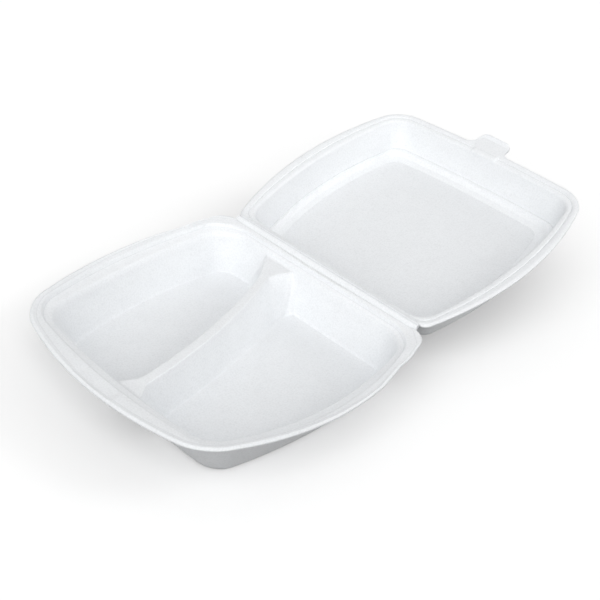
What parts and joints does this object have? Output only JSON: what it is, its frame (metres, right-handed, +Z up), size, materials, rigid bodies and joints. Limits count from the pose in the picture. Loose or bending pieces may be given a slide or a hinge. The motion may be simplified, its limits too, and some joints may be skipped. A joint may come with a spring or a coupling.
{
  "type": "foam clamshell container",
  "caption": "Foam clamshell meal box: divided tray with a stepped rim, and a domed lid on a rear hinge with a front closing tab.",
  "frame": {"origin": "on the table, straight below the middle of the hinge axis, which is also the middle of the open box", "axes": "+Z up, +X along the hinge, +Y from the hinge towards the open lid's front edge; the tray lies towards -Y"},
  "size_m": [0.2402, 0.4421, 0.0898],
  "materials": {
    "tray_foam": "satin",
    "lid_foam": "satin"
  },
  "bodies": {
    "tray": {"base_tray": "tray_foam"},
    "lid": {"lid": "lid_foam"}
  },
  "joints": [
    {"name": "lid_hinge", "type": "hinge", "parent": "tray", "child": "lid", "pos_m": [0, 0, 0.043], "axis": [1, 0, 0], "range_deg": [-10, 168.7]}
  ]
}
